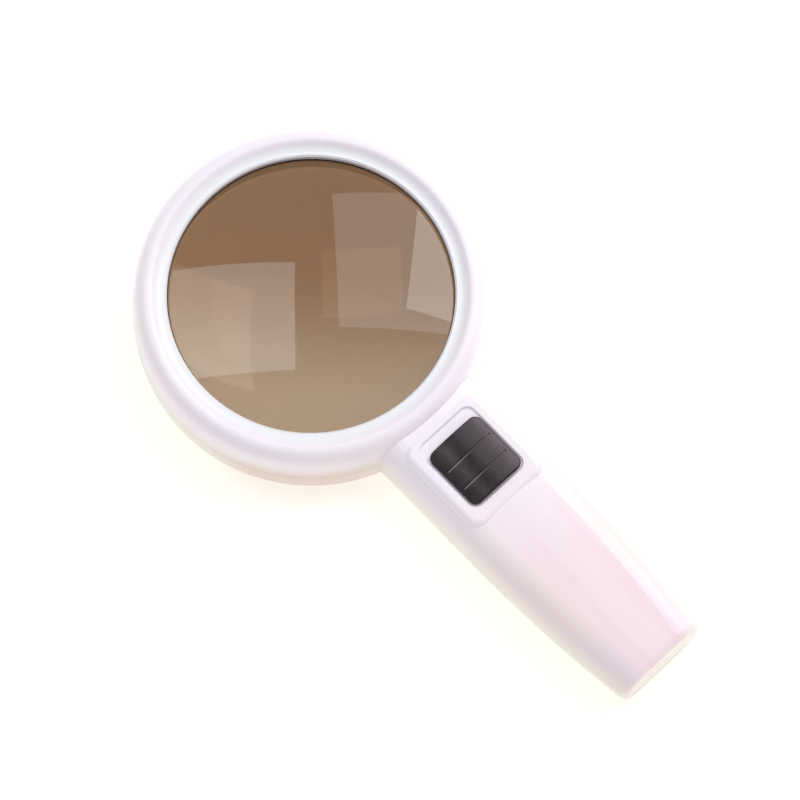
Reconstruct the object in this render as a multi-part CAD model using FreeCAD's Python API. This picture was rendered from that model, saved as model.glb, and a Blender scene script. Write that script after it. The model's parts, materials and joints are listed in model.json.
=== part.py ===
"""Hand-held lighted low vision magnifier, lying on its back.

A biconvex lens in a round two-part housing, with a ring of LEDs round its rear, and a flat handle that
holds three AAA cells and a slide switch. Millimetres. X runs along the handle, away from the lens, Y
across it, and Z is the lens axis, up out of the front. The origin is the middle of the footprint, on the
table.

Everything is modelled round the lens axis, and export() shifts it by ORIGIN_SHIFT to the footprint's
middle.
"""

import math
import os

import FreeCAD
import Part

V = FreeCAD.Vector
X_AXIS = V(1, 0, 0)
Z_AXIS = V(0, 0, 1)

# ---- Driving dimensions --------------------------------------------------------------------------
CLEAR_R = 40.0  # clear radius of the lens
RING_R = 50.0  # largest radius of the lens ring
HANDLE_END = 140.5  # from the lens axis to the end of the handle
HANDLE_HALF_WIDTH = 18.1
HANDLE_TOP = 21.6  # height of the handle's front face
PARTING_Z = 11.5  # where the two housing halves meet
WALL = 1.8
SWITCH_TRAVEL = 3.2
ORIGIN_SHIFT = V((RING_R - HANDLE_END) / 2, 0, 0)
EVERYWHERE = (-60.0, 160.0, -60.0, 60.0)  # X and Y limits of cutting boxes that cross the whole part
BELOW = -1.0  # and their heights
ABOVE = 30.0

# ---- Lens ring, as radius and height -------------------------------------------------------------
RING_FOOT = (47.9, 0.0)
RING_HEEL = (49.05, 0.75)
RING_SIDE_LOW = (49.5, 2.2)
RING_BELLY_Z = 11.0
RING_FRONT = (
    (49.15, 19.4),
    (48.5, 21.6),
    (47.3, 23.2),
    (45.6, 24.0),
    (44.1, 23.8),
    (43.2, 23.1),
    (42.3, 22.6),
    (40.5, 22.4),
)
RING_BORE = ((40.5, 22.4), (CLEAR_R, 21.9), (CLEAR_R, 0.6), (40.6, 0.0))
CHANNEL_OUT_R = RING_R - WALL
CHANNEL_SHOULDER = (46.2, 18.0)
CHANNEL_TOP = 21.0

# ---- Handle --------------------------------------------------------------------------------------
BOW_START = 85.0  # the handle is straight up to here
SIDE_BOW_R = 409.0  # then its sides draw in along this arc
TOP_BOW_R = 500.0  # and its front face drops along this one
TOP_CORNER_R = 8.5
BOTTOM_CORNER_R = 7.5
CROWN_R = 130.0
HANDLE_START = 42.5
HANDLE_STATIONS = (56.0, 70.0, 85.0, 97.0, 109.0, 121.0, 132.0)
END_FILLET = 2.2
END_WALL = 2.2
CAVITY_START = 44.0
GROOVE = 0.16  # width and depth of the groove where the halves meet

# ---- Lens ----------------------------------------------------------------------------------------
LENS_R = 41.5
LENS_EDGE_LOW = 16.7
LENS_EDGE_HIGH = 19.7
LENS_SURFACE_R = 200.0
SLEEVE_R = 41.5  # outside of the rear half's sleeve, which the lens sits on
SLEEVE_TOP = 16.3
LIP_LOW = 20.05  # underside of the front lip that holds the lens
COLLAR_IN_R = 41.6  # the front half's collar centres the lens
COLLAR_OUT_R = 43.0
COLLAR_LOW = 15.5

# ---- Light ring ----------------------------------------------------------------------------------
LED_COUNT = 12
LED_ANGLES = [(k + 0.5) * 360 / LED_COUNT for k in range(LED_COUNT)]
LED_R = 44.7  # radius of the circle of LEDs
LED_SIZE = 3.5
LED_THICK = 1.4
PHOSPHOR_R = 1.25
PHOSPHOR_DEPTH = 0.3
WEB_LOW = 1.5
WEB_HIGH = 2.7
CUP_SMALL_R = 1.9
CUP_LARGE_R = 2.25
BOARD_LOW = 5.2
BOARD_HIGH = 6.4
BOARD_IN_R = 42.0
BOARD_OUT_R = 47.8
WINDOW_IN_R = 42.4
WINDOW_OUT_R = 47.0
WINDOW_LOW = 0.3
BOARD_SCREW_ANGLES = (60, 180, 300)
BOARD_BOSS_R = 1.9
BOARD_SCREW_R = 0.8
BOARD_SCREW_END = 3.2
RESISTOR_ANGLES = (30, 90, 150, 210, 270, 330)
RESISTOR_HALF = (0.8, 1.6)
RESISTOR_HIGH = 0.6

# ---- Switch --------------------------------------------------------------------------------------
PAD_X = (49.8, 81.3)  # raised pad round the switch
PAD_HALF_WIDTH = 13.9
PAD_TOP = 22.0
PAD_CORNER_R = 4.5
PAD_FILLET = 2.4
KNOB_LENGTH = 19.4
KNOB_WIDTH = 18.6
KNOB_X = 65.9  # middle of the knob at rest, switched off
KNOB_GAP = 0.3
KNOB_CORNER_R = 2.4
KNOB_LOW = 21.65
KNOB_TOP = 23.6
KNOB_CROWN_R = 42.0
KNOB_BEVEL = 0.35
KNOB_GROOVE_OFFSETS = (-2.8, 3.7)
KNOB_GROOVE_WIDTH = 0.45
KNOB_GROOVE_HALF_LENGTH = 8.1
KNOB_GROOVE_DEPTH = 0.35
POCKET_FLOOR = 21.35
POCKET_RIM = 0.4  # bevel round the top of the pocket
SLOT_LOW = 16.0
STEM_HALF = 2.5
STEM_LOW = 17.9
SWITCH_X = KNOB_X - SWITCH_TRAVEL / 2
CASE_HALF_LENGTH = 6.5
CASE_HALF_WIDTH = 3.0
CASE_WALL = 0.4
CASE_LOW = 14.8
CASE_HIGH = 17.6
BASE_HIGH = 15.8
LEVER_HALF = (1.0, 1.2)
LEVER_LOW = 16.5
LEVER_TOP = 19.4
LEVER_FOOT_HALF = 2.2
LEVER_GAP = 0.3
RETAINER_HALF = (5.5, 4.6)
RETAINER_Z = (18.1, 19.3)
SWITCH_BOARD_LOW = 13.8
SWITCH_BOARD_X = (55.0, 71.4)
SWITCH_BOARD_HALF_WIDTH = 9.8
SWITCH_SCREWS = ((58.0, 7.4), (68.5, -7.4))
SWITCH_BOSS_R = 2.0
TERMINAL_OFFSETS = (-4.0, 0.0, 4.0)
TERMINAL_R = 0.45
TERMINAL_LOW = 12.2
TERMINAL_INSET = 0.6

# ---- Battery bay ---------------------------------------------------------------------------------
CELL_R = 5.25
CELL_LENGTH = 44.5
NUB_R = 1.9
NUB_HIGH = 0.8
CELL_EDGE_R = 0.5
SIDE_CELL_Y = 9.5  # the outer two cells lie low
SIDE_CELL_Z = 7.3
MIDDLE_CELL_Z = 12.1  # and the middle one nests above them
BAY_X = (73.8, 122.6)
TRAY_WALL = 1.2
TRAY_LOW = 5.3
CELL_CLEARANCE = 0.25
PLATE_THICK = 0.4
PLATE_HALF = 3.6
PLATE_RISE = 3.9
SPRING_LENGTH = 3.5
SPRING_R = 3.0
SPRING_TURNS = 3
SPRING_WIRE_R = 0.35
SPRING_WIRE_SIDES = 8
COVER_X = 66.0  # the cover runs from here to the end of the handle
COVER_TOP = 5.0
COVER_WALL = 1.6
SEAM = 0.15  # each side of the joint round the cover
TAIL_FLOOR_TOP = 6.4
TONGUE_HALF = 4.8
TONGUE_X = (62.0, 68.5)  # tongue that hooks inside the rear half, in front of the cover
TONGUE_Z = (2.1, 3.4)
TONGUE_ROOT_X = 66.5
SINK = 1.0  # ribs and the tongue start this deep in the cover's wall
RIB_X = (124.6, 128.6)  # ribs with heads that slide in slots in the tail floor
RIB_Y = 8.0
RIB_HALF = 1.0
RIB_HEAD_HALF = 2.0
RIB_HEAD_Z = (6.7, 7.9)
RIB_SLOT_X = (124.0, 137.0)
RIB_SLOT_LOW = 4.0
GRIP_GROOVES = 6
GRIP_START = 72.0
GRIP_PITCH = 2.2
GRIP_WIDTH = 0.9
GRIP_HALF_LENGTH = 7.0
GRIP_DEPTH = 0.4

# ---- Screws and wires ----------------------------------------------------------------------------
NECK_SCREWS = ((51.5, 8.5), (51.5, -8.5))
TAIL_SCREW = (131.5, 0.0)
HOUSING_SCREWS = (*NECK_SCREWS, TAIL_SCREW)
BOSS_R = 3.0
BOSS_TOP = 20.0
NECK_BOSS_LOW = 0.5
SCREW_R = 1.1
SCREW_HOLE_R = 1.3
SCREW_HEAD_R = 2.2
COUNTERBORE_R = 2.5
SCREW_HEAD_HIGH = 1.5
CROSS_SPAN = 0.62  # the cross recess's arm as a share of the head's radius
CROSS_DEPTH = 0.55  # and its depth as a share of the head's height
CROSS_WIDTH = 0.6
SCREW_TOP = 17.0
SCREW_HOLE_TOP = 17.4
SMALL_HEAD_R = 1.6  # heads of the circuit board screws
SMALL_HEAD_HIGH = 0.9
SWITCH_SCREW_TOP = 18.4
SWITCH_HOLE_TOP = 18.6
NECK_HEAD_LOW = 0.7
TAIL_HEAD_LOW = 6.0
WIRE_R = 0.6
WIRE_BEND = 1.2  # radius of a bend, along its middle
WIRE_RISE = 3.0  # the wires leave the plates this far above the cells' axes
WIRE_HOLE_R = 0.8
WIRE_DUCT = (-10.6, 15.4)  # where the black wire runs back over the cells
DUCT_R = 1.3
WIRE_OFF_PLATE = 1.6  # the wires turn this far off the tray's ends
WIRE_DROP = 4.5  # the black wire comes down within this length
WIRE_TIP_Y = 0.5
WIRE_RUN_Z = 9.0  # height of the wires under the switch
NECK_WIRE = (52.0, 3.8)  # where the two wires of the light ring pass through the neck
BOARD_WIRE = (46.0, 3.6, 8.8)  # and where they turn down to its board


# ---- Small helpers -------------------------------------------------------------------------------
def box(x0, x1, y0, y1, z0, z1):
    return Part.makeBox(x1 - x0, y1 - y0, z1 - z0, V(x0, y0, z0))


def tube(r_out, r_in, z0, z1, x=0.0, y=0.0):
    outer = Part.makeCylinder(r_out, z1 - z0, V(x, y, z0))
    if r_in <= 0:
        return outer
    return outer.cut(Part.makeCylinder(r_in, z1 - z0, V(x, y, z0)))


def rounded_plate(x0, x1, half_width, z0, z1, corner):
    plate = box(x0, x1, -half_width, half_width, z0, z1)
    upright = [e for e in plate.Edges if abs(e.tangentAt(e.FirstParameter).z) > 0.99]
    return plate.makeFillet(corner, upright)


def revolved(edges):
    face = Part.Face(Part.Wire(edges))
    return face.revolve(V(0, 0, 0), Z_AXIS, 360)


def line(a, b):
    return Part.LineSegment(V(a[0], 0, a[1]), V(b[0], 0, b[1])).toShape()


def polyline(points):
    return [line(a, b) for a, b in zip(points, points[1:])]


def spline(points):
    curve = Part.BSplineCurve()
    curve.interpolate([V(r, 0, z) for r, z in points])
    return curve.toShape()


def at_angle(shape, degrees, radius):
    placed = shape.copy()
    placed.translate(V(radius, 0, 0))
    placed.rotate(V(0, 0, 0), Z_AXIS, degrees)
    return placed


def fused(shapes):
    whole = shapes[0]
    for shape in shapes[1:]:
        whole = whole.fuse(shape)
    return whole.removeSplitter()


def export(name, *solids):
    """Writes one node, as one solid or as a group of separate solids."""
    shape = solids[0] if len(solids) == 1 else Part.Compound(list(solids))
    placed = shape.copy()
    placed.translate(ORIGIN_SHIFT)
    placed.exportStep(os.path.join("parts", name + ".step"))
    print(f"{name}: {len(placed.Solids)} solid(s), {placed.Volume:.1f} mm3, valid {placed.isValid()}")


# ---- Outer form ----------------------------------------------------------------------------------
def half_width(x):
    return HANDLE_HALF_WIDTH - max(x - BOW_START, 0) ** 2 / (2 * SIDE_BOW_R)


def top_height(x):
    return HANDLE_TOP - max(x - BOW_START, 0) ** 2 / (2 * TOP_BOW_R)


def handle_section(x, inset):
    """The handle's closed cross-section at x, drawn in by inset all round: flat below, crowned on top."""
    w = half_width(x) - inset
    crown = CROWN_R - inset
    r_top = TOP_CORNER_R - inset
    r_low = BOTTOM_CORNER_R - inset
    crown_z = top_height(x) - CROWN_R
    corner_y = w - r_top
    corner_z = crown_z + math.sqrt((crown - r_top) ** 2 - corner_y**2)
    lean = math.atan2(corner_y, corner_z - crown_z)
    meet = (crown * math.sin(lean), crown_z + crown * math.cos(lean))
    mid = math.radians(90) - (math.radians(90) - lean) / 2
    top_mid = (corner_y + r_top * math.sin(mid), corner_z + r_top * math.cos(mid))
    low_y = w - r_low
    low_z = inset + r_low
    diag = r_low * math.sqrt(0.5)

    def p(y, z):
        return V(x, y, z)

    return Part.Wire(
        [
            Part.LineSegment(p(-low_y, inset), p(low_y, inset)).toShape(),
            Part.Arc(p(low_y, inset), p(low_y + diag, low_z - diag), p(w, low_z)).toShape(),
            Part.LineSegment(p(w, low_z), p(w, corner_z)).toShape(),
            Part.Arc(p(w, corner_z), p(*top_mid), p(*meet)).toShape(),
            Part.Arc(p(*meet), p(0, crown_z + crown), p(-meet[0], meet[1])).toShape(),
            Part.Arc(p(-meet[0], meet[1]), p(-top_mid[0], top_mid[1]), p(-w, corner_z)).toShape(),
            Part.LineSegment(p(-w, corner_z), p(-w, low_z)).toShape(),
            Part.Arc(p(-w, low_z), p(-low_y - diag, low_z - diag), p(-low_y, inset)).toShape(),
        ]
    )


def handle_solid(start, end, inset):
    stations = [start, *HANDLE_STATIONS, end]
    return Part.makeLoft([handle_section(x, inset) for x in stations], True, False)


def handle_inside(wall):
    return handle_solid(CAVITY_START, HANDLE_END - END_WALL, wall)


def ring_solid():
    """The lens ring with nothing cut out of it but the lens opening."""
    corners = (RING_FOOT, RING_HEEL, RING_SIDE_LOW, RING_FRONT[0])
    foot, heel, side_low, shoulder = [V(r, 0, z) for r, z in corners]
    rear = Part.Arc(foot, heel, side_low).toShape()
    side = Part.Arc(side_low, V(RING_R, 0, RING_BELLY_Z), shoulder).toShape()
    return revolved([rear, side, spline(RING_FRONT)] + polyline([*RING_BORE, RING_FOOT]))


def switch_pad():
    pad = rounded_plate(*PAD_X, PAD_HALF_WIDTH, PARTING_Z + 1, PAD_TOP, PAD_CORNER_R)
    rim = [e for e in pad.Edges if min(v.Z for v in e.Vertexes) > PAD_TOP - 0.01]
    return pad.makeFillet(PAD_FILLET, rim)


def outer_form():
    handle = handle_solid(HANDLE_START, HANDLE_END, 0.0)
    end_rim = [e for e in handle.Edges if min(v.X for v in e.Vertexes) > HANDLE_END - 0.01]
    handle = handle.makeFillet(END_FILLET, end_rim)
    return ring_solid().fuse([handle, switch_pad()]).removeSplitter()


def ring_channel():
    """Space in the ring for the LED board and the lens collar."""
    return revolved(
        polyline(
            [
                (SLEEVE_R, WEB_HIGH),
                (CHANNEL_OUT_R, WEB_HIGH),
                (CHANNEL_OUT_R, CHANNEL_SHOULDER[1]),
                (CHANNEL_SHOULDER[0], CHANNEL_TOP),
                (COLLAR_OUT_R, CHANNEL_TOP),
                (COLLAR_OUT_R, COLLAR_LOW),
                (SLEEVE_R, COLLAR_LOW),
                (SLEEVE_R, WEB_HIGH),
            ]
        )
    )


def hollow():
    handle = handle_inside(WALL).cut(tube(CHANNEL_OUT_R, 0, 0, WEB_HIGH))
    return ring_channel().fuse(handle)


def parting_groove():
    slab = box(*EVERYWHERE, PARTING_Z - GROOVE / 2, PARTING_Z + GROOVE / 2)
    handle_core = handle_solid(HANDLE_START, HANDLE_END - GROOVE, GROOVE)
    return slab.cut(tube(RING_R - GROOVE, 0, 0, ABOVE).fuse(handle_core))


# ---- Housing -------------------------------------------------------------------------------------
def knob_pocket():
    """The pocket the knob slides in, with a bevelled rim, and the slot for its stem."""
    reach = KNOB_WIDTH / 2 + KNOB_GAP
    x0 = KNOB_X - SWITCH_TRAVEL - KNOB_LENGTH / 2 - KNOB_GAP
    x1 = KNOB_X + KNOB_LENGTH / 2 + KNOB_GAP
    pocket = rounded_plate(x0, x1, reach, POCKET_FLOOR, PAD_TOP, KNOB_CORNER_R)
    rim = POCKET_RIM
    corner = KNOB_CORNER_R + rim
    flare = rounded_plate(x0 - rim, x1 + rim, reach + rim, PAD_TOP - rim, PAD_TOP + rim, corner)
    foot = [e for e in flare.Edges if max(v.Z for v in e.Vertexes) < PAD_TOP]
    flare = flare.makeChamfer(rim, foot)
    slot_reach = STEM_HALF + KNOB_GAP
    slot_start = KNOB_X - SWITCH_TRAVEL - slot_reach
    slot = box(slot_start, KNOB_X + slot_reach, -slot_reach, slot_reach, SLOT_LOW, PAD_TOP)
    return pocket.fuse([flare, slot])


def front_shell(outer, cavity):
    shell = outer.common(box(*EVERYWHERE, PARTING_Z, ABOVE)).cut(cavity)
    shell = shell.cut(tube(COLLAR_IN_R, 0, 0, LIP_LOW)).cut(parting_groove())
    bosses = [tube(BOSS_R, 0, PARTING_Z, BOSS_TOP, x, y) for x, y in HOUSING_SCREWS]
    bosses += [tube(SWITCH_BOSS_R, 0, CASE_LOW, BOSS_TOP, x, y) for x, y in SWITCH_SCREWS]
    shell = shell.fuse([boss.common(outer) for boss in bosses])
    shell = shell.cut(knob_pocket())
    for x, y in HOUSING_SCREWS:
        shell = shell.cut(tube(SCREW_R, 0, PARTING_Z, SCREW_HOLE_TOP, x, y))
    for x, y in SWITCH_SCREWS:
        shell = shell.cut(tube(BOARD_SCREW_R, 0, CASE_LOW, SWITCH_HOLE_TOP, x, y))
    return shell.removeSplitter()


def cover_zone(grow):
    """Everything the battery cover takes up, grown or shrunk by half the joint round it."""
    _, x1, y0, y1 = EVERYWHERE
    return box(COVER_X - grow, x1, y0, y1, BELOW, COVER_TOP + grow)


def tail_floor():
    """Floor over the rear end of the cover, with slots for the cover's ribs."""
    _, x1, y0, y1 = EVERYWHERE
    x0 = BAY_X[1] + TRAY_WALL
    floor = handle_inside(WALL).common(box(x0, x1, y0, y1, COVER_TOP + SEAM, TAIL_FLOOR_TOP))
    floor = floor.fuse(tube(BOSS_R, 0, COVER_TOP + SEAM, PARTING_Z, *TAIL_SCREW))
    reach = RIB_HALF + 2 * SEAM
    for y in (-RIB_Y, RIB_Y):
        floor = floor.cut(box(*RIB_SLOT_X, y - reach, y + reach, RIB_SLOT_LOW, TAIL_FLOOR_TOP))
    return floor


def rear_shell(outer, cavity):
    shell = outer.common(box(*EVERYWHERE, BELOW, PARTING_Z)).cut(cavity).cut(parting_groove())
    shell = shell.fuse(tube(SLEEVE_R, CLEAR_R, PARTING_Z, SLEEVE_TOP))
    neck = [tube(BOSS_R, 0, NECK_BOSS_LOW, PARTING_Z, x, y) for x, y in NECK_SCREWS]
    shell = shell.fuse(neck).cut(cover_zone(SEAM)).fuse(tail_floor())
    board_bosses = [
        at_angle(tube(BOARD_BOSS_R, 0, WEB_LOW, BOARD_LOW), angle, LED_R) for angle in BOARD_SCREW_ANGLES
    ]
    shell = shell.fuse(board_bosses)
    shell = shell.cut(tube(WINDOW_OUT_R, WINDOW_IN_R, BELOW, WEB_LOW))
    for angle in LED_ANGLES:
        cup = Part.makeCone(CUP_LARGE_R, CUP_SMALL_R, WEB_HIGH - WEB_LOW, V(0, 0, WEB_LOW))
        shell = shell.cut(at_angle(cup, angle, LED_R))
    for angle in BOARD_SCREW_ANGLES:
        shell = shell.cut(at_angle(tube(BOARD_SCREW_R, 0, BOARD_SCREW_END, BOARD_LOW), angle, LED_R))
    for x, y in NECK_SCREWS:
        shell = shell.cut(tube(SCREW_HOLE_R, 0, 0, PARTING_Z, x, y))
        shell = shell.cut(tube(COUNTERBORE_R, 0, BELOW, NECK_HEAD_LOW + SCREW_HEAD_HIGH, x, y))
    shell = shell.cut(tube(SCREW_HOLE_R, 0, 0, PARTING_Z, *TAIL_SCREW))
    shell = shell.cut(tube(COUNTERBORE_R, 0, 0, TAIL_HEAD_LOW + SCREW_HEAD_HIGH, *TAIL_SCREW))
    return shell.removeSplitter()


def screw(r_shank, r_head, z_head, z_top, head_high, x, y):
    """A pan-head screw pointing up, with a cross recess in its head."""
    body = tube(r_shank, 0, z_head + head_high, z_top, x, y).fuse(
        tube(r_head, 0, z_head, z_head + head_high, x, y)
    )
    arm = r_head * CROSS_SPAN
    half = CROSS_WIDTH / 2
    deep = z_head + head_high * CROSS_DEPTH
    body = body.cut(box(x - arm, x + arm, y - half, y + half, z_head, deep))
    return body.cut(box(x - half, x + half, y - arm, y + arm, z_head, deep))


def housing_screws():
    spots = [(NECK_HEAD_LOW, x, y) for x, y in NECK_SCREWS] + [(TAIL_HEAD_LOW, *TAIL_SCREW)]
    return [screw(SCREW_R, SCREW_HEAD_R, low, SCREW_TOP, SCREW_HEAD_HIGH, x, y) for low, x, y in spots]


# ---- Lens and light ring -------------------------------------------------------------------------
def lens():
    sag = LENS_SURFACE_R - math.sqrt(LENS_SURFACE_R**2 - LENS_R**2)
    mid_sag = LENS_SURFACE_R - math.sqrt(LENS_SURFACE_R**2 - (LENS_R / 2) ** 2)
    top = LENS_EDGE_HIGH + sag
    low = LENS_EDGE_LOW - sag
    edges = [
        line((0, low), (0, top)),
        Part.Arc(V(0, 0, top), V(LENS_R / 2, 0, top - mid_sag), V(LENS_R, 0, LENS_EDGE_HIGH)).toShape(),
        line((LENS_R, LENS_EDGE_HIGH), (LENS_R, LENS_EDGE_LOW)),
        Part.Arc(V(LENS_R, 0, LENS_EDGE_LOW), V(LENS_R / 2, 0, low + mid_sag), V(0, 0, low)).toShape(),
    ]
    return revolved(edges)


def light_window():
    return tube(WINDOW_OUT_R, WINDOW_IN_R, WINDOW_LOW, WEB_LOW)


def led_board():
    board = tube(BOARD_OUT_R, BOARD_IN_R, BOARD_LOW, BOARD_HIGH)
    for angle in BOARD_SCREW_ANGLES:
        board = board.cut(at_angle(tube(BOARD_SCREW_R, 0, BOARD_LOW, BOARD_HIGH), angle, LED_R))
    return board


def leds():
    half = LED_SIZE / 2
    low = BOARD_LOW - LED_THICK
    package = box(-half, half, -half, half, low, BOARD_LOW)
    package = package.cut(tube(PHOSPHOR_R, 0, low, low + PHOSPHOR_DEPTH))
    return [at_angle(package, angle, LED_R) for angle in LED_ANGLES]


def led_phosphors():
    low = BOARD_LOW - LED_THICK
    disc = tube(PHOSPHOR_R, 0, low, low + PHOSPHOR_DEPTH)
    return [at_angle(disc, angle, LED_R) for angle in LED_ANGLES]


def led_resistors():
    rx, ry = RESISTOR_HALF
    resistor = box(-rx, rx, -ry, ry, BOARD_HIGH, BOARD_HIGH + RESISTOR_HIGH)
    return [at_angle(resistor, angle, LED_R) for angle in RESISTOR_ANGLES]


def led_board_screws():
    """These point down, so each is an upright screw turned over."""
    head_low = -BOARD_HIGH - SMALL_HEAD_HIGH
    upright = screw(BOARD_SCREW_R, SMALL_HEAD_R, head_low, -BOARD_SCREW_END, SMALL_HEAD_HIGH, 0, 0)
    upright.rotate(V(0, 0, 0), X_AXIS, 180)
    return [at_angle(upright, angle, LED_R) for angle in BOARD_SCREW_ANGLES]


# ---- Switch --------------------------------------------------------------------------------------
def switch_knob():
    x0 = KNOB_X - KNOB_LENGTH / 2
    x1 = KNOB_X + KNOB_LENGTH / 2
    cap = rounded_plate(x0, x1, KNOB_WIDTH / 2, KNOB_LOW, KNOB_TOP, KNOB_CORNER_R)
    crown_start = V(x0, 0, KNOB_TOP - KNOB_CROWN_R)
    crown = Part.makeCylinder(KNOB_CROWN_R, KNOB_LENGTH, crown_start, X_AXIS)
    cap = cap.common(crown)
    rim = [e for e in cap.Edges if min(v.Z for v in e.Vertexes) > PAD_TOP and e.Length > 1]
    cap = cap.makeChamfer(KNOB_BEVEL, rim)
    groove_crown = Part.makeCylinder(KNOB_CROWN_R - KNOB_GROOVE_DEPTH, KNOB_LENGTH, crown_start, X_AXIS)
    reach = KNOB_GROOVE_HALF_LENGTH
    for offset in KNOB_GROOVE_OFFSETS:
        start = KNOB_X + offset - KNOB_GROOVE_WIDTH / 2
        groove = box(start, start + KNOB_GROOVE_WIDTH, -reach, reach, KNOB_LOW, ABOVE)
        cap = cap.cut(groove.cut(groove_crown))
    stem = box(KNOB_X - STEM_HALF, KNOB_X + STEM_HALF, -STEM_HALF, STEM_HALF, STEM_LOW, KNOB_LOW)
    lx, ly = LEVER_HALF
    socket = box(KNOB_X - lx, KNOB_X + lx, -ly, ly, STEM_LOW, LEVER_TOP)
    return cap.fuse(stem).cut(socket).removeSplitter()


def knob_retainer():
    """A square ring pressed on the stem, under the housing's front wall."""
    rx, ry = RETAINER_HALF
    plate = box(KNOB_X - rx, KNOB_X + rx, -ry, ry, *RETAINER_Z)
    return plate.cut(box(KNOB_X - STEM_HALF, KNOB_X + STEM_HALF, -STEM_HALF, STEM_HALF, *RETAINER_Z))


def switch_lever():
    lx, ly = LEVER_HALF
    foot = LEVER_FOOT_HALF
    foot_low = BASE_HIGH + LEVER_GAP
    foot_high = CASE_HIGH - CASE_WALL - LEVER_GAP
    shaft = box(KNOB_X - lx, KNOB_X + lx, -ly, ly, LEVER_LOW, LEVER_TOP)
    plate = box(KNOB_X - foot, KNOB_X + foot, -foot, foot, foot_low, foot_high)
    return shaft.fuse(plate).removeSplitter()


def switch_case():
    inner_x = CASE_HALF_LENGTH - CASE_WALL
    inner_y = CASE_HALF_WIDTH - CASE_WALL
    case = box(
        SWITCH_X - CASE_HALF_LENGTH,
        SWITCH_X + CASE_HALF_LENGTH,
        -CASE_HALF_WIDTH,
        CASE_HALF_WIDTH,
        CASE_LOW,
        CASE_HIGH,
    )
    case = case.cut(
        box(SWITCH_X - inner_x, SWITCH_X + inner_x, -inner_y, inner_y, CASE_LOW, CASE_HIGH - CASE_WALL)
    )
    lx = LEVER_HALF[0] + SWITCH_TRAVEL / 2 + KNOB_GAP
    ly = LEVER_HALF[1] + KNOB_GAP
    return case.cut(box(SWITCH_X - lx, SWITCH_X + lx, -ly, ly, CASE_LOW, CASE_HIGH))


def switch_base():
    inner_x = CASE_HALF_LENGTH - CASE_WALL
    inner_y = CASE_HALF_WIDTH - CASE_WALL
    base = box(SWITCH_X - inner_x, SWITCH_X + inner_x, -inner_y, inner_y, CASE_LOW, BASE_HIGH)
    for offset in TERMINAL_OFFSETS:
        base = base.cut(tube(TERMINAL_R, 0, CASE_LOW, CASE_LOW + TERMINAL_INSET, SWITCH_X + offset))
    return base


def switch_terminals():
    top = CASE_LOW + TERMINAL_INSET
    return [tube(TERMINAL_R, 0, TERMINAL_LOW, top, SWITCH_X + offset) for offset in TERMINAL_OFFSETS]


def switch_board():
    half = SWITCH_BOARD_HALF_WIDTH
    board = box(*SWITCH_BOARD_X, -half, half, SWITCH_BOARD_LOW, CASE_LOW)
    for offset in TERMINAL_OFFSETS:
        board = board.cut(tube(TERMINAL_R, 0, SWITCH_BOARD_LOW, CASE_LOW, SWITCH_X + offset))
    for x, y in SWITCH_SCREWS:
        board = board.cut(tube(BOARD_SCREW_R, 0, SWITCH_BOARD_LOW, CASE_LOW, x, y))
    return board


def switch_board_screws():
    head_low = SWITCH_BOARD_LOW - SMALL_HEAD_HIGH
    return [
        screw(BOARD_SCREW_R, SMALL_HEAD_R, head_low, SWITCH_SCREW_TOP, SMALL_HEAD_HIGH, x, y)
        for x, y in SWITCH_SCREWS
    ]


# ---- Battery bay ---------------------------------------------------------------------------------
def cell_spots():
    """Each cell as its y, its z, and whether its plus end is towards the lens."""
    left = (SIDE_CELL_Y, SIDE_CELL_Z, True)
    right = (-SIDE_CELL_Y, SIDE_CELL_Z, True)
    return left, (0.0, MIDDLE_CELL_Z, False), right


def cell(y, z, plus_first):
    can_length = CELL_LENGTH - NUB_HIGH
    body = Part.makeCylinder(CELL_R, can_length, V(0, 0, 0), X_AXIS)
    ends = [e for e in body.Edges if e.Curve.TypeId == "Part::GeomCircle"]
    body = body.makeFillet(CELL_EDGE_R, ends)
    body = body.fuse(Part.makeCylinder(NUB_R, NUB_HIGH, V(can_length, 0, 0), X_AXIS))
    if plus_first:
        body.rotate(V(0, 0, 0), Z_AXIS, 180)
        body.translate(V(BAY_X[0] + PLATE_THICK + CELL_LENGTH, y, z))
    else:
        body.translate(V(BAY_X[1] - PLATE_THICK - CELL_LENGTH, y, z))
    return body


def battery_tray():
    x0 = BAY_X[0] - TRAY_WALL
    x1 = BAY_X[1] + TRAY_WALL
    _, _, y0, y1 = EVERYWHERE
    tray = handle_inside(WALL).common(box(x0, x1, y0, y1, TRAY_LOW, ABOVE))
    reach = CELL_R + CELL_CLEARANCE
    length = BAY_X[1] - BAY_X[0]
    for y, z, _ in cell_spots():
        tray = tray.cut(Part.makeCylinder(reach, length, V(BAY_X[0], y, z), X_AXIS))
        tray = tray.cut(box(*BAY_X, y - reach, y + reach, 0, z))
    duct_y, duct_z = WIRE_DUCT
    wire_z = SIDE_CELL_Z + WIRE_RISE
    tray = tray.cut(Part.makeCylinder(DUCT_R, x1 - x0, V(x0, duct_y, duct_z), X_AXIS))
    tray = tray.cut(Part.makeCylinder(WIRE_HOLE_R, TRAY_WALL, V(x0, SIDE_CELL_Y, wire_z), X_AXIS))
    tray = tray.cut(Part.makeCylinder(WIRE_HOLE_R, TRAY_WALL, V(BAY_X[1], -SIDE_CELL_Y, wire_z), X_AXIS))
    return tray.removeSplitter()


def single_plate(x, side):
    y = side * SIDE_CELL_Y
    return box(x, x + PLATE_THICK, y - PLATE_HALF, y + PLATE_HALF, TRAY_LOW, SIDE_CELL_Z + PLATE_RISE)


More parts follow.
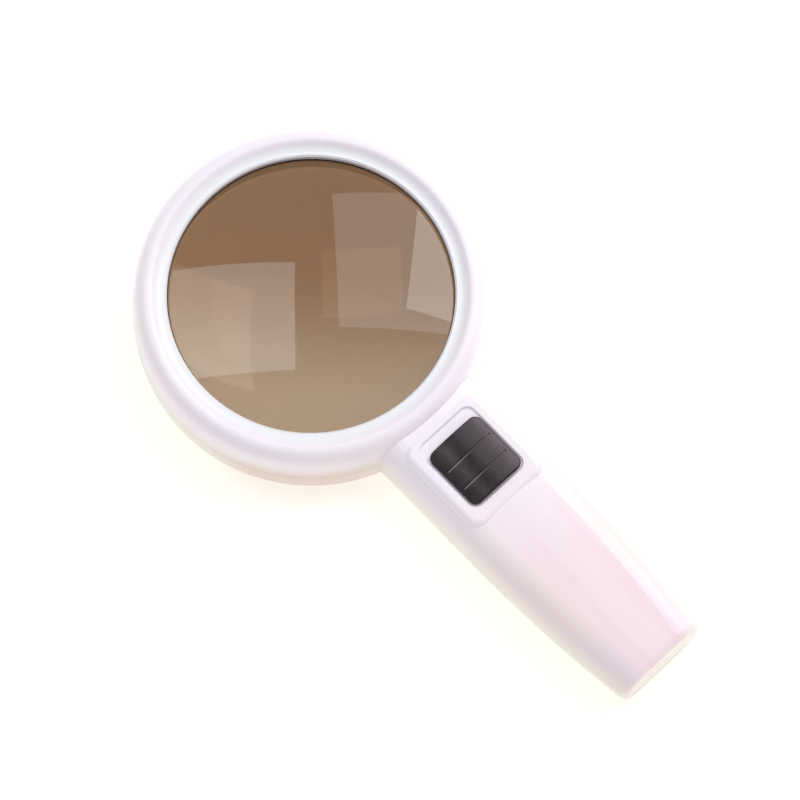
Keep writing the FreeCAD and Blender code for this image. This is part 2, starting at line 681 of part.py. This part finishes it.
def link_plate(x, side):
    """Joins the middle cell to one of the outer cells."""
    outer_plate = single_plate(x, side)
    low = MIDDLE_CELL_Z - PLATE_HALF
    middle = box(x, x + PLATE_THICK, -PLATE_HALF, PLATE_HALF, low, MIDDLE_CELL_Z + PLATE_HALF)
    y0, y1 = sorted((0, side * SIDE_CELL_Y))
    bridge = box(x, x + PLATE_THICK, y0, y1, low, SIDE_CELL_Z + PLATE_RISE)
    return fused([outer_plate, middle, bridge])


def lens_end_contacts():
    return [single_plate(BAY_X[0], 1), link_plate(BAY_X[0], -1)]


def tail_end_contacts():
    x = BAY_X[1] - PLATE_THICK
    return [link_plate(x, 1), single_plate(x, -1)]


def spring(x, y, z):
    """A coil lying along X. Its wire has eight sides, so that its mesh keeps its volume."""
    run = SPRING_LENGTH - 2 * SPRING_WIRE_R
    helix = Part.makeHelix(run / SPRING_TURNS, run, SPRING_R)
    corners = []
    for k in range(SPRING_WIRE_SIDES + 1):
        turn = 2 * math.pi * k / SPRING_WIRE_SIDES
        corners.append(V(SPRING_R + SPRING_WIRE_R * math.cos(turn), 0, SPRING_WIRE_R * math.sin(turn)))
    profile = Part.makePolygon(corners)
    coil = Part.Wire(helix).makePipeShell([profile], True, True)
    coil.translate(V(0, 0, SPRING_WIRE_R))
    coil.rotate(V(0, 0, 0), V(0, 1, 0), 90)
    coil.translate(V(x, y, z))
    return coil


def contact_springs():
    tail_x = BAY_X[1] - PLATE_THICK - SPRING_LENGTH
    springs = [spring(BAY_X[0] + PLATE_THICK, 0, MIDDLE_CELL_Z)]
    return springs + [spring(tail_x, side * SIDE_CELL_Y, SIDE_CELL_Z) for side in (-1, 1)]


def battery_cover(outer):
    cover = outer.common(cover_zone(-SEAM)).cut(handle_inside(COVER_WALL))
    tongue = box(*TONGUE_X, -TONGUE_HALF, TONGUE_HALF, *TONGUE_Z)
    root = box(TONGUE_ROOT_X, TONGUE_X[1], -TONGUE_HALF, TONGUE_HALF, SINK, TONGUE_Z[1])
    cover = cover.fuse([tongue, root])
    for y in (-RIB_Y, RIB_Y):
        stem = box(*RIB_X, y - RIB_HALF, y + RIB_HALF, SINK, RIB_HEAD_Z[1])
        head = box(*RIB_X, y - RIB_HEAD_HALF, y + RIB_HEAD_HALF, *RIB_HEAD_Z)
        cover = cover.fuse([stem, head])
    for k in range(GRIP_GROOVES):
        x = GRIP_START + k * GRIP_PITCH
        cover = cover.cut(box(x, x + GRIP_WIDTH, -GRIP_HALF_LENGTH, GRIP_HALF_LENGTH, BELOW, GRIP_DEPTH))
    return cover.removeSplitter()


# ---- Wires ---------------------------------------------------------------------------------------
def wire(*points):
    """A wire along straight runs, with a round bend at each corner."""
    spots = [V(*p) for p in points]
    edges = []
    start = spots[0]
    for before, corner, after in zip(spots, spots[1:], spots[2:]):
        incoming = (corner - before).normalize()
        outgoing = (after - corner).normalize()
        turn = incoming.getAngle(outgoing)
        reach = WIRE_BEND * math.tan(turn / 2)
        first = corner - incoming * reach
        last = corner + outgoing * reach
        inward = (outgoing - incoming).normalize()
        middle = corner + inward * (WIRE_BEND / math.cos(turn / 2) - WIRE_BEND)
        edges.append(Part.LineSegment(start, first).toShape())
        edges.append(Part.Arc(first, middle, last).toShape())
        start = last
    edges.append(Part.LineSegment(start, spots[-1]).toShape())
    ring = Part.Wire(Part.makeCircle(WIRE_R, spots[0], spots[1] - spots[0]))
    return Part.Wire(edges).makePipeShell([ring], True, False)


def to_board(side):
    """Last bends of a wire that runs under the switch and through the neck to the light ring's board."""
    neck_x, neck_y = NECK_WIRE
    x, y, z = BOARD_WIRE
    return (neck_x, side * neck_y, WIRE_RUN_Z), (x, side * y, z), (x, side * y, BOARD_HIGH)


def wire_red():
    x = BAY_X[0]
    z = SIDE_CELL_Z + WIRE_RISE
    tip = SWITCH_X + TERMINAL_OFFSETS[2]
    return wire(
        (x, SIDE_CELL_Y, z),
        (x - TRAY_WALL - WIRE_OFF_PLATE, SIDE_CELL_Y, z),
        (tip, WIRE_TIP_Y, z),
        (tip, WIRE_TIP_Y, TERMINAL_LOW),
    )


def wire_white():
    tip = SWITCH_X + TERMINAL_OFFSETS[1]
    return wire((tip, WIRE_TIP_Y, TERMINAL_LOW), (tip, WIRE_TIP_Y, WIRE_RUN_Z), *to_board(1))


def wire_black():
    y, z = WIRE_DUCT
    low = SIDE_CELL_Z + WIRE_RISE
    tray_start = BAY_X[0] - TRAY_WALL
    turn_x = BAY_X[1] + TRAY_WALL + WIRE_OFF_PLATE
    return wire(
        (BAY_X[1], -SIDE_CELL_Y, low),
        (turn_x, -SIDE_CELL_Y, low),
        (turn_x, y, z),
        (tray_start - WIRE_OFF_PLATE, y, z),
        (tray_start - WIRE_DROP, y, WIRE_RUN_Z),
        *to_board(-1),
    )


# ---- Export --------------------------------------------------------------------------------------
def main():
    os.makedirs("parts", exist_ok=True)
    outer = outer_form()
    cavity = hollow()

    export("front_shell", front_shell(outer, cavity))
    export("rear_shell", rear_shell(outer, cavity))
    export("housing_screws", *housing_screws())
    export("lens", lens())

    export("light_window", light_window())
    export("led_board", led_board())
    export("leds", *leds())
    export("led_phosphors", *led_phosphors())
    export("led_resistors", *led_resistors())
    export("led_board_screws", *led_board_screws())

    export("switch_board", switch_board())
    export("switch_board_screws", *switch_board_screws())
    export("switch_case", switch_case())
    export("switch_base", switch_base())
    export("switch_terminals", *switch_terminals())

    export("battery_tray", battery_tray())
    left, middle, right = [cell(*spot) for spot in cell_spots()]
    export("cell_left", left)
    export("cell_middle", middle)
    export("cell_right", right)
    export("lens_end_contacts", *lens_end_contacts())
    export("tail_end_contacts", *tail_end_contacts())
    export("contact_springs", *contact_springs())
    export("wire_red", wire_red())
    export("wire_white", wire_white())
    export("wire_black", wire_black())

    export("switch_knob", switch_knob())
    export("knob_retainer", knob_retainer())
    export("switch_lever", switch_lever())

    export("battery_cover", battery_cover(outer))


main()
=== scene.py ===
"""A lighted low vision magnifier lying on its back on a pale studio floor. Metres, in the row's frame."""

import json
import math

import bpy
from mathutils import Matrix, Vector


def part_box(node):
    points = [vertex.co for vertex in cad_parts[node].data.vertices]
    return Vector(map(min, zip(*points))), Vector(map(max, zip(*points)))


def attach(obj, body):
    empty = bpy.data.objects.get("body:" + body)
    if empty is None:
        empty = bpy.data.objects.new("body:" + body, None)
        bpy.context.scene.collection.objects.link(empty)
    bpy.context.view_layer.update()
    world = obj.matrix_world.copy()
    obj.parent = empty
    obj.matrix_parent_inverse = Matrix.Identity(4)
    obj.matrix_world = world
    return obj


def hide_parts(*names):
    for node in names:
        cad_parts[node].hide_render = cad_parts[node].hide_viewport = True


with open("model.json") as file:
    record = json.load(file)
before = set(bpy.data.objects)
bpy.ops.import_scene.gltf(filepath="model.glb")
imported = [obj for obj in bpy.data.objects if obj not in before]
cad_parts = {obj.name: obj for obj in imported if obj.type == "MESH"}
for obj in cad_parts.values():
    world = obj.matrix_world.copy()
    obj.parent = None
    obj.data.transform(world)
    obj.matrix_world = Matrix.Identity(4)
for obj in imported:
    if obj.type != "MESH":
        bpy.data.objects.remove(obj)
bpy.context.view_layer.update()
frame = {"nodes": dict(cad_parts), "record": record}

# ---- Sizes and places ----------------------------------------------------------------------------
LENS_LOW, LENS_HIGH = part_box("lens")
LENS_AXIS = (LENS_LOW + LENS_HIGH) / 2
LENS_SURFACE_R = 0.200
LENS_CLEAR_R = 0.040
LENS_BEVEL = 0.00025
LENS_AROUND = 256  # points round the lens's mesh
LENS_RINGS = 40  # and circles of them on each face
BEZEL_R = 0.0431
KNOB_GROOVES = (-0.0026, 0.0039)  # lit walls of the knob's grooves, from its middle along X
KNOB_LINE = 0.0003
KNOB_GROOVE_REACH = 0.0079
CAMERA_AZIMUTH = 46.6
CAMERA_ELEVATION = 73.9
CAMERA_DISTANCE = 1.5
CAMERA_LENS = 244.0
AIM_BELOW_RING = 0.002  # height it aims at, under the ring's top
AIM_RIGHT = 0.0246  # and how far to the right of the lens, and below it, in the picture
AIM_DOWN = 0.0294
FLOOR_HALF = 6.0


# ---- Node helpers --------------------------------------------------------------------------------
class Graph:
    """One material with a Principled shader, and short calls that add nodes to it."""

    def __init__(self, name, **settings):
        self.material = bpy.data.materials.new(name)
        self.material.use_nodes = True
        self.tree = self.material.node_tree
        self.shader = next(n for n in self.tree.nodes if n.type == "BSDF_PRINCIPLED")
        for socket, value in settings.items():
            self.shader.inputs[socket.replace("_", " ")].default_value = value
        self.place = self.add("ShaderNodeTexCoord").outputs["Object"]

    def add(self, kind, **settings):
        node = self.tree.nodes.new(kind)
        for key, value in settings.items():
            setattr(node, key, value)
        return node

    def put(self, value, socket):
        """Sets a socket from a number, a colour or another node's output."""
        if isinstance(value, bpy.types.NodeSocket):
            self.tree.links.new(value, socket)
        else:
            socket.default_value = value

    def math(self, operation, a, b=0.0):
        node = self.add("ShaderNodeMath", operation=operation)
        self.put(a, node.inputs[0])
        self.put(b, node.inputs[1])
        return node.outputs[0]

    def scaled(self, factors, origin=(0, 0, 0)):
        """The place on the object, measured from origin and stretched by factors."""
        node = self.add("ShaderNodeMapping")
        self.put(self.place, node.inputs["Vector"])
        node.inputs["Scale"].default_value = factors
        node.inputs["Location"].default_value = [-o * f for o, f in zip(origin, factors)]
        return node.outputs[0]

    def noise(self, scale, detail=3.0, roughness=0.5, distortion=0.0, at=None):
        node = self.add("ShaderNodeTexNoise")
        self.put(self.place if at is None else at, node.inputs["Vector"])
        node.inputs["Scale"].default_value = scale
        node.inputs["Detail"].default_value = detail
        node.inputs["Roughness"].default_value = roughness
        node.inputs["Distortion"].default_value = distortion
        return node.outputs["Fac"]

    def spread(self, value, low, high, to_low=0.0, to_high=1.0):
        """Maps value from low..high to to_low..to_high, smoothly and clamped."""
        node = self.add("ShaderNodeMapRange", interpolation_type="SMOOTHSTEP")
        self.put(value, node.inputs["Value"])
        node.inputs["From Min"].default_value = low
        node.inputs["From Max"].default_value = high
        node.inputs["To Min"].default_value = to_low
        node.inputs["To Max"].default_value = to_high
        return node.outputs["Result"]

    def mix(self, factor, a, b):
        node = self.add("ShaderNodeMix", data_type="RGBA")
        self.put(factor, node.inputs["Factor"])
        self.put(a, node.inputs["A"])
        self.put(b, node.inputs["B"])
        return node.outputs["Result"]

    def colour(self, value):
        self.put(value, self.shader.inputs["Base Color"])

    def roughness(self, value):
        self.put(value, self.shader.inputs["Roughness"])

    def bump(self, height, distance, strength):
        node = self.add("ShaderNodeBump")
        self.put(height, node.inputs["Height"])
        node.inputs["Distance"].default_value = distance
        node.inputs["Strength"].default_value = strength
        self.put(node.outputs["Normal"], self.shader.inputs["Normal"])

    def parts(self):
        """The place on the object, as X, Y and Z."""
        node = self.add("ShaderNodeSeparateXYZ")
        self.put(self.place, node.inputs[0])
        return node.outputs[0], node.outputs[1], node.outputs[2]

    def from_lens_axis(self):
        """Distance from the lens's axis."""
        node = self.add("ShaderNodeVectorMath", operation="LENGTH")
        self.put(self.scaled((1, 1, 0), (LENS_AXIS.x, LENS_AXIS.y, 0)), node.inputs[0])
        return node.outputs["Value"]

    def within(self, value, low, high, soft):
        """1 where value is between low and high, fading over soft on each side."""
        rise = self.spread(value, low - soft, low + soft)
        fall = self.spread(value, high - soft, high + soft, 1.0, 0.0)
        return self.math("MULTIPLY", rise, fall)


def rgb(*values):
    return (*values, 1.0)


# ---- Materials -----------------------------------------------------------------------------------
def pearl_plastic():
    """Pearly white: lavender on the ring, pink on the handle with flow lines along it, and a painted shade
    low down that makes the sides darker and creamier.
    """
    g = Graph("pearl_plastic", Coat_Weight=0.22, Coat_Roughness=0.12, IOR=1.46)
    x, y, z = g.parts()
    cloud = g.spread(g.noise(14.0, 2.0, 0.5, 0.5), 0.30, 0.72)
    flow = g.spread(g.noise(1.0, 3.0, 0.55, 1.3, g.scaled((7, 95, 55))), 0.38, 0.62)
    streak = g.spread(g.noise(1.0, 2.0, 0.5, 0.3, g.scaled((5, 210, 120))), 0.40, 0.60)
    ring = g.mix(cloud, rgb(0.975, 0.890, 0.940), rgb(0.955, 0.880, 0.975))
    handle = g.mix(flow, rgb(0.980, 0.815, 0.865), rgb(0.972, 0.765, 0.830))
    lines = g.mix(streak, rgb(0.985, 0.840, 0.805), rgb(0.950, 0.850, 0.925))
    edges = g.spread(g.math("ABSOLUTE", y), 0.0075, 0.0105, 0.0, 0.8)
    handle = g.mix(edges, handle, lines)
    base = g.mix(g.spread(x, 0.020, 0.060), ring, handle)
    # Painted shade: below 11.5 mm up the sides are darker and creamier, fading into the pearl by 18.5 mm.
    side = g.mix(cloud, rgb(0.885, 0.850, 0.785), rgb(0.900, 0.810, 0.765))
    # Painted shade: the ring's low side turns a darker peach towards the neck, on the -Y side.
    slant = g.math("SUBTRACT", g.math("ADD", x, -LENS_AXIS.x), y)
    painted_peach_shade = g.math("MULTIPLY", g.spread(slant, 0.056, 0.069), g.spread(x, -0.004, 0.006, 0.8, 0.0))
    side = g.mix(painted_peach_shade, side, rgb(0.800, 0.640, 0.560))
    base = g.mix(g.spread(z, 0.0115, 0.0185), side, base)
    inside = g.spread(g.from_lens_axis(), BEZEL_R - 0.0006, BEZEL_R + 0.0006, 1.0, 0.0)
    bezel = g.math("MULTIPLY", inside, g.spread(z, 0.019, 0.021))
    g.colour(g.mix(bezel, base, rgb(0.91, 0.905, 0.935)))
    g.roughness(g.spread(g.noise(160.0, 3.0), 0.3, 0.7, 0.30, 0.40))
    g.bump(g.noise(700.0, 2.0), 0.00003, 0.2)
    return g.material


def knob_plastic():
    """Dark brown-black, with a painted highlight on the lit wall of each groove, along one end of it."""
    g = Graph("knob_plastic", Specular_IOR_Level=0.5, Specular_Tint=rgb(1.0, 0.85, 0.88))
    x, y, _ = g.parts()
    low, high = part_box("switch_knob")
    middle = (low.x + high.x) / 2
    # Painted highlight: light lines on the lit walls of the grooves, strongest towards -Y and fading out
    # towards +Y.
    lines = [g.within(x, middle + o, middle + o + KNOB_LINE, KNOB_LINE / 3) for o in KNOB_GROOVES]
    painted_groove_highlight = g.math("MULTIPLY", g.math("ADD", *lines), g.spread(y, -0.004, 0.003, 0.75, 0.0))
    painted_groove_highlight = g.math("MULTIPLY", painted_groove_highlight, g.within(y, -KNOB_GROOVE_REACH, KNOB_GROOVE_REACH, 0.0002))
    plain = g.mix(g.noise(240.0, 4.0), rgb(0.0030, 0.0010, 0.0008), rgb(0.008, 0.0035, 0.0028))
    g.colour(g.mix(painted_groove_highlight, plain, rgb(0.30, 0.22, 0.21)))
    g.roughness(g.spread(g.noise(420.0, 3.0), 0.3, 0.7, 0.16, 0.24))
    g.bump(g.noise(1500.0, 2.0), 0.00003, 0.25)
    return g.material


def tinted_lens():
    """Warm tint, deeper towards one side of the lens, with a painted shadow of the front lip: a dark line
    round the rim where the lip meets it.
    """
    g = Graph("tinted_lens", IOR=1.49, Transmission_Weight=1.0)
    x, y, z = g.parts()
    across = g.math("SUBTRACT", y, g.math("ADD", x, -LENS_AXIS.x))
    tint = g.mix(g.spread(across, -0.046, 0.014), rgb(0.57, 0.455, 0.355), rgb(0.385, 0.235, 0.135))
    # Painted shadow: a dark line on the lens's top rim, where the front lip shades it.
    line = g.within(g.from_lens_axis(), LENS_CLEAR_R - 0.0004, LENS_CLEAR_R + 0.0008, 0.0001)
    lip_shadow_line = g.math("MULTIPLY", line, g.spread(z, LENS_AXIS.z, LENS_AXIS.z + 0.0005))
    g.colour(g.mix(lip_shadow_line, tint, rgb(0.045, 0.025, 0.018)))
    g.roughness(g.spread(g.noise(38.0, 4.0, 0.6, 1.2), 0.50, 0.80, 0.0, 0.03))
    return g.material


def clear_window():
    g = Graph("clear_window", IOR=1.49, Transmission_Weight=1.0)
    g.colour(g.mix(g.noise(60.0), rgb(0.94, 0.95, 0.96), rgb(0.97, 0.97, 0.98)))
    g.roughness(g.spread(g.noise(300.0), 0.3, 0.7, 0.10, 0.22))
    g.bump(g.noise(900.0), 0.00005, 0.4)
    return g.material


def moulded(name, dark, light, rough=0.45):
    g = Graph(name)
    g.colour(g.mix(g.noise(180.0, 4.0), rgb(*dark), rgb(*light)))
    g.roughness(g.spread(g.noise(350.0), 0.3, 0.7, rough - 0.06, rough + 0.08))
    g.bump(g.noise(1100.0), 0.00005, 0.4)
    return g.material


def metal(name, colour, rough):
    g = Graph(name, Metallic=1.0)
    lines = g.noise(1.0, 5.0, 0.6, 0.0, g.scaled((900, 40, 900)))
    dull = tuple(0.82 * c for c in colour)
    g.colour(g.mix(g.spread(g.noise(120.0), 0.4, 0.7), rgb(*colour), rgb(*dull)))
    g.roughness(g.spread(lines, 0.3, 0.7, rough, rough + 0.16))
    g.bump(lines, 0.00002, 0.3)
    return g.material


def circuit_board(name, mask, light):
    g = Graph(name, Coat_Weight=0.3, Coat_Roughness=0.2)
    tracks = g.spread(g.noise(420.0, 0.0, 0.5, 2.0), 0.50, 0.52)
    g.colour(g.mix(tracks, rgb(*mask), rgb(*light)))
    g.roughness(g.spread(g.noise(500.0), 0.3, 0.7, 0.35, 0.5))
    g.bump(tracks, 0.00003, 0.5)
    return g.material


def cell_sleeve():
    """Dark sleeve with a lighter band near one end."""
    g = Graph("cell_sleeve", Metallic=0.7)
    x, _, _ = g.parts()
    low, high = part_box("cell_left")
    length = high.x - low.x
    band = g.within(x, low.x + 0.06 * length, low.x + 0.26 * length, 0.00015)
    sleeve = g.mix(band, rgb(0.015, 0.02, 0.035), rgb(0.55, 0.36, 0.12))
    g.colour(g.mix(g.spread(g.noise(200.0), 0.4, 0.7), sleeve, rgb(0.05, 0.06, 0.08)))
    g.roughness(g.spread(g.noise(500.0), 0.3, 0.7, 0.22, 0.34))
    g.bump(g.noise(800.0), 0.00003, 0.3)
    return g.material


def phosphor():
    g = Graph("phosphor", Coat_Weight=1.0, Coat_Roughness=0.05)
    g.colour(g.mix(g.noise(900.0), rgb(0.86, 0.66, 0.06), rgb(0.92, 0.74, 0.12)))
    g.roughness(g.spread(g.noise(900.0), 0.3, 0.7, 0.3, 0.5))
    return g.material


def floor_paper():
    g = Graph("floor_paper", Roughness=0.9)
    tone = g.mix(g.noise(3.0), rgb(0.92, 0.91, 0.85), rgb(0.94, 0.93, 0.87))
    g.colour(tone)
    g.put(tone, g.shader.inputs["Emission Color"])
    g.shader.inputs["Emission Strength"].default_value = 0.44
    return g.material


def finishes():
    """One material for each of the record's slots."""
    return {
        "shell": pearl_plastic(),
        "lens": tinted_lens(),
        "window": clear_window(),
        "knob": knob_plastic(),
        "screw": metal("zinc_screw", (0.55, 0.55, 0.56), 0.28),
        "plated_steel": metal("nickel_steel", (0.70, 0.69, 0.67), 0.18),
        "brass": metal("tinned_brass", (0.74, 0.60, 0.34), 0.25),
        "white_board": circuit_board("white_board", (0.86, 0.86, 0.84), (0.78, 0.78, 0.75)),
        "green_board": circuit_board("green_board", (0.012, 0.10, 0.045), (0.03, 0.17, 0.07)),
        "led": moulded("led_package", (0.84, 0.84, 0.80), (0.90, 0.90, 0.86), 0.3),
        "phosphor": phosphor(),
        "dark_part": moulded("dark_part", (0.015, 0.015, 0.016), (0.03, 0.03, 0.03)),
        "inner_plastic": moulded("inner_plastic", (0.74, 0.71, 0.73), (0.80, 0.78, 0.79)),
        "cell": cell_sleeve(),
        "wire_red": moulded("wire_red", (0.50, 0.02, 0.015), (0.58, 0.03, 0.02), 0.4),
        "wire_white": moulded("wire_white", (0.76, 0.76, 0.74), (0.82, 0.82, 0.80), 0.4),
        "wire_black": moulded("wire_black", (0.012, 0.012, 0.012), (0.022, 0.022, 0.022), 0.4),
    }


def lens(look):
    """The lens turned as one fine mesh: two spherical faces and a thin ground edge with tiny bevels."""
    radius = (LENS_HIGH.x - LENS_LOW.x) / 2
    sag = LENS_SURFACE_R - math.sqrt(LENS_SURFACE_R**2 - radius**2)
    profile = []
    for k in range(1, LENS_RINGS + 1):
        r = (radius - LENS_BEVEL) * k / LENS_RINGS
        drop = LENS_SURFACE_R - math.sqrt(LENS_SURFACE_R**2 - r**2)
        profile.append((r, LENS_HIGH.z - drop))
    profile.append((radius, LENS_HIGH.z - sag - LENS_BEVEL))
    profile.append((radius, LENS_LOW.z + sag + LENS_BEVEL))
    for r, z in reversed(profile[:LENS_RINGS]):
        profile.append((r, LENS_LOW.z + LENS_HIGH.z - z))
    around = LENS_AROUND
    points = [(LENS_AXIS.x, LENS_AXIS.y, LENS_HIGH.z)]
    for r, z in profile:
        for k in range(around):
            turn = 2 * math.pi * k / around
            points.append((LENS_AXIS.x + r * math.cos(turn), LENS_AXIS.y + r * math.sin(turn), z))
    points.append((LENS_AXIS.x, LENS_AXIS.y, LENS_LOW.z))
    last = len(points) - 1
    faces = [(0, 1 + k, 1 + (k + 1) % around) for k in range(around)]
    for ring in range(len(profile) - 1):
        a = 1 + ring * around
        b = a + around
        for k in range(around):
            n = (k + 1) % around
            faces.append((a + k, b + k, b + n, a + n))
    end = last - around
    faces += [(last, end + (k + 1) % around, end + k) for k in range(around)]
    mesh = bpy.data.meshes.new("lens_glass")
    mesh.from_pydata(points, [], faces)
    for face in mesh.polygons:
        face.use_smooth = True
    mesh.materials.append(look)
    obj = bpy.data.objects.new("lens_glass", mesh)
    bpy.context.collection.objects.link(obj)
    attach(obj, "housing")
    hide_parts("lens")


def dress_nodes(looks):
    for part in frame["record"]["subparts"]:
        node = frame["nodes"][part["node"]]
        node.data.materials.clear()
        node.data.materials.append(looks[part["material_slot"]])


# ---- Stage ---------------------------------------------------------------------------------------
def camera_axes():
    a = math.radians(CAMERA_AZIMUTH)
    e = math.radians(CAMERA_ELEVATION)
    back = Vector((math.sin(a) * math.cos(e), -math.cos(a) * math.cos(e), math.sin(e)))
    right = Vector((math.cos(a), math.sin(a), 0))
    return back, right, back.cross(right)


def camera():
    back, right, up = camera_axes()
    ring_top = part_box("front_shell")[1].z
    aim = Vector((LENS_AXIS.x, LENS_AXIS.y, ring_top - AIM_BELOW_RING)) + right * AIM_RIGHT - up * AIM_DOWN
    data = bpy.data.cameras.new("camera")
    data.lens = CAMERA_LENS
    data.sensor_width = 36.0
    data.clip_start = 0.05
    data.clip_end = 50.0
    obj = bpy.data.objects.new("camera", data)
    obj.location = aim + back * CAMERA_DISTANCE
    obj.rotation_mode = "QUATERNION"
    obj.rotation_quaternion = (-back).to_track_quat("-Z", "Y")
    bpy.context.collection.objects.link(obj)
    bpy.context.scene.camera = obj
    return obj


def floor():
    half = FLOOR_HALF
    mesh = bpy.data.meshes.new("floor")
    corners = [(-half, -half, 0), (half, -half, 0), (half, half, 0), (-half, half, 0)]
    mesh.from_pydata(corners, [], [(0, 1, 2, 3)])
    mesh.materials.append(floor_paper())
    obj = bpy.data.objects.new("floor", mesh)
    bpy.context.collection.objects.link(obj)


def softbox(name, place, target, size, radiance, tint, across):
    """A rectangular light at place, facing target, with its first side along across."""
    data = bpy.data.lights.new(name, "AREA")
    data.shape = "RECTANGLE"
    data.size, data.size_y = size
    data.energy = radiance * math.pi * size[0] * size[1]
    data.color = tint
    obj = bpy.data.objects.new(name, data)
    back = (Vector(place) - Vector(target)).normalized()
    side = (across - back * across.dot(back)).normalized()
    turned = Matrix((side, back.cross(side), back)).transposed().to_4x4()
    obj.matrix_world = Matrix.Translation(place) @ turned
    bpy.context.collection.objects.link(obj)


def reflected_from(cam, right_of, above, distance):
    """Where a softbox stands for the lens to mirror it at a spot given as seen, and that spot."""
    _, right, _ = camera_axes()
    ahead = Vector((-right.y, right.x, 0))
    off = right * right_of + ahead * above
    off.z = math.sqrt(LENS_SURFACE_R**2 - off.length_squared)
    normal = off.normalized()
    spot = Vector((LENS_AXIS.x, LENS_AXIS.y, LENS_HIGH.z - LENS_SURFACE_R)) + off
    to_camera = (cam.location - spot).normalized()
    out = 2 * normal.dot(to_camera) * normal - to_camera
    return spot + out * distance, spot


def lights(cam):
    _, right, _ = camera_axes()
    place, spot = reflected_from(cam, 0.0265, 0.0096, 0.95)
    leaning = Matrix.Rotation(math.radians(4), 3, "Z") @ right
    softbox("window_right", place, spot, (0.42, 0.45), 1.7, (0.90, 0.96, 1.0), leaning)
    place, spot = reflected_from(cam, -0.0231, -0.0075, 0.95)
    softbox("window_left", place, spot, (0.41, 0.35), 2.5, (0.84, 0.98, 1.0), right)
    place, spot = reflected_from(cam, 0.0575, 0.0200, 1.2)
    softbox("key", place, spot, (0.75, 0.90), 3.1, (1.0, 0.99, 0.98), right)
    softbox("warm_fill", (0.9, -0.9, 0.25), (0, 0, 0.01), (1.2, 0.5), 0.30, (1.0, 0.60, 0.44), right)
    world = bpy.data.worlds.new("studio")
    world.use_nodes = True
    shade = next(n for n in world.node_tree.nodes if n.type == "BACKGROUND")
    shade.inputs["Color"].default_value = rgb(0.97, 0.97, 1.0)
    shade.inputs["Strength"].default_value = 0.54
    bpy.context.scene.world = world


looks = finishes()
dress_nodes(looks)
lens(looks["lens"])
floor()
lights(camera())
bpy.context.scene.view_settings.view_transform = "Standard"
